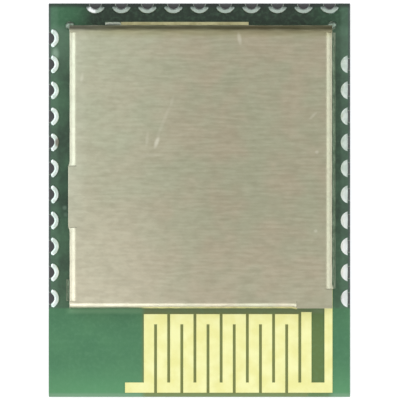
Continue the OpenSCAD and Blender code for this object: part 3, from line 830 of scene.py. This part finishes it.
def bead(middle, turn_from):
    """Bead round a corner: height times the square root of 1 less the radius squared, over three quarters
    of a turn, flat below and at both ends, where it lies against the walls."""
    turn = np.radians(np.linspace(turn_from, turn_from + 270, BEAD_STEPS))[:, None]
    share = np.sin(np.linspace(0, math.pi / 2, ROUND_STEPS))[None, :]
    swell = 1 + 0.12 * np.sin(2 * turn + 0.7)
    out = np.concatenate([bead_r * share * swell, np.zeros_like(turn)], 1)
    up = np.concatenate([bead_h * np.sqrt(1 - share ** 2) + 0 * turn, np.zeros_like(turn)], 1)
    flat = np.array(middle) + np.stack([out * np.cos(turn), out * np.sin(turn)], -1)
    faces = grid_faces(BEAD_STEPS, ROUND_STEPS + 1, wrap=True)
    cap = np.array([[ROUND_STEPS, at, at + 1, at + 2] for at in range(0, ROUND_STEPS - 1, 2)])
    last_row = (BEAD_STEPS - 1) * (ROUND_STEPS + 1)
    return on_land(flat, up), np.concatenate([faces, cap, cap + last_row])


shells = [
    fillet((right, right_from), (right, right_to), (1, 0), long_w, long_h, 0.16),
    fillet((left, left_from), (left, left_to), (-1, 0), short_w, short_h, 0.04),
    fillet((rear_from, rear), (rear_to, rear), (0, 1), short_w, short_h, 0.03),
    bead((left, rear), 0),
    bead((right, rear), -90),
]
points, faces = gathered(shells)
fillet_finish, tree, shader, place = new_finish("fillet_finish", 1.0, 0.5)
axes = split(tree, place)
clouds = noise(tree, place, 3.0, detail=4)
grain = noise(tree, place, 16.0, detail=2)
at_rear = ramp(tree, axes["Y"], rear / MM - 0.4, rear / MM - 0.1)
dull = blend(tree, ramp(tree, clouds, *NOISE_SPAN), colour(78, 93, 74), colour(108, 122, 100))
dull = blend(tree, at_rear, dull, colour(132, 146, 130))
bright = blend(tree, ramp(tree, clouds, *NOISE_SPAN), colour(158, 164, 148), colour(192, 196, 180))
by_strip = product(tree, ramp(tree, axes["X"], -5.4, -5.0), ramp(tree, axes["X"], 5.0, 4.0), at_rear)
wire(tree, shader, Base_Color=blend(tree, by_strip, dull, bright),
     Roughness=ramp(tree, grain, *NOISE_SPAN, 0.42, 0.58), Normal=relief(tree, grain, 0.006))
make_piece("can_fillets", points, faces, [fillet_finish], "shield_solder", sharp=50)

# Floor, light and camera: the module lies on white under a soft dome with a large lamp to the left,
# one in front and one to the right, seen from straight above.
lamp_distance = 0.5
lamp_tone = (0.94, 1.0, 1.08)
floor_reach = 1.5
contact_w = 0.035 * MM
near_ray = 0.3 * MM
eye_height = 0.6
sensor_w = 36
frame_width = 19.527 * MM
frame_middle = (0.028 * MM, 0.009 * MM)


def softbox(name, azimuth, elevation, radiance, width, height):
    """A large lamp that faces the module, that many degrees round it and above it; its power is
    radiance times four times its area."""
    data = bpy.data.lights.new(name, "AREA")
    data.shape = "RECTANGLE"
    data.size = width
    data.size_y = height
    data.energy = radiance * 4 * width * height
    data.color = lamp_tone
    turn, rise = math.radians(azimuth), math.radians(elevation)
    way = np.array([math.cos(rise) * math.sin(turn), -math.cos(rise) * math.cos(turn), math.sin(rise)])
    lamp = placed(name, data)
    lamp.location = lamp_distance * way
    lamp.rotation_euler = (math.pi / 2 - rise, 0, turn)


softbox("front_lamp", 0, 30, 1.9, 0.3, 0.36)
softbox("left_lamp", -106, 33, 1.32, 0.74, 0.56)
softbox("right_lamp", 102, 33, 1.4, 0.5, 0.56)

world = bpy.data.worlds.new("dome")
world.use_nodes = True
bpy.context.scene.world = world
tree = world.node_tree
ways = split(tree, add(tree, "TexCoord", {}).outputs["Generated"])
aside = product(tree, maths(tree, "ABSOLUTE", ways["X"]), 1.1)
astern = maths(tree, "SUBTRACT", ways["Y"], aside)
dome = ramp(tree, ways["Z"], 0.5, 0.92, 0.32, 0.92)
dome = product(tree, dome, ramp(tree, astern, 0.08, 0.45, 1.0, 0.4))
dome = maths(tree, "ADD", dome, ramp(tree, ways["Z"], -0.05, -0.3, 0, 0.5))
seen = add(tree, "LightPath", {}).outputs["Is Camera Ray"]
sky = maths(tree, "ADD", product(tree, dome, maths(tree, "SUBTRACT", 1.0, seen)), seen)
tree.links.new(sky, tree.nodes["Background"].inputs["Strength"])
tree.nodes["Background"].inputs["Color"].default_value = (1, 1, 1, 1)

# the floor is white where it is looked at, with a painted shadow under the board and painted shade behind
# the module in reflections, and clear from below and close up
floor_finish = bpy.data.materials.new("floor_finish")
floor_finish.use_nodes = True
tree = floor_finish.node_tree
rays = add(tree, "LightPath", {}).outputs
glossy = rays["Is Glossy Ray"]
mirrored = maths(tree, "MAXIMUM", glossy, rays["Is Transmission Ray"])
seen = maths(tree, "MAXIMUM", rays["Is Camera Ray"], mirrored)
ground = split(tree, add(tree, "TexCoord", {}).outputs["Object"])
beside = maths(tree, "SUBTRACT", maths(tree, "ABSOLUTE", ground["X"]), board_high[0])
beyond = maths(tree, "SUBTRACT", maths(tree, "ABSOLUTE", ground["Y"]), board_high[1])
# painted shadow: under the board's outline the floor turns dark grey, seen through the half holes
uncovered = ramp(tree, maths(tree, "MAXIMUM", beside, beyond), 0.0, contact_w, 0.09, 1.0)
# painted shade: behind the module the floor darkens in reflections only
behind = product(tree, glossy, ramp(tree, ground["Y"], 8.5 * MM, 11.5 * MM, 0.0, 0.85))
kept = product(tree, uncovered, maths(tree, "SUBTRACT", 1.0, behind))
glow = product(tree, seen, kept, ramp(tree, glossy, 0, 1, 0.4, 0.6))
tone = product(tree, kept, 0.8)
grey = add(tree, "CombineColor", {0: tone, 1: tone, 2: tone}).outputs[0]
shine = add(tree, "Emission", {"Color": (1, 1, 1, 1), "Strength": glow}).outputs[0]
matt = add(tree, "BsdfDiffuse", {"Color": grey}).outputs[0]
surface = add(tree, "AddShader", {0: shine, 1: matt}).outputs[0]
below = add(tree, "NewGeometry", {}).outputs["Backfacing"]
far = maths(tree, "GREATER_THAN", rays["Ray Length"], near_ray)
shut = product(tree, maths(tree, "SUBTRACT", 1.0, below), far)
clear = add(tree, "BsdfTransparent", {}).outputs[0]
surface = add(tree, "MixShader", {0: shut, 1: clear, 2: surface}).outputs[0]
tree.links.new(surface, tree.nodes["Material Output"].inputs["Surface"])
tree.nodes.remove(tree.nodes["Principled BSDF"])
floor_mesh = bpy.data.meshes.new("floor")
floor_corners = floor_reach * np.array([(-1, -1, 0), (1, -1, 0), (1, 1, 0), (-1, 1, 0)])
floor_mesh.from_pydata(floor_corners, [], [(0, 1, 2, 3)])
floor_mesh.materials.append(floor_finish)
floor = placed("floor", floor_mesh)

lens = bpy.data.cameras.new("camera")
lens.sensor_width = sensor_w
lens.lens = sensor_w * (eye_height - board_t) / frame_width
lens.clip_start = 0.01
camera = placed("camera", lens)
camera.location = (*frame_middle, eye_height)
bpy.context.scene.camera = camera
bpy.context.scene.view_settings.view_transform = "Standard"
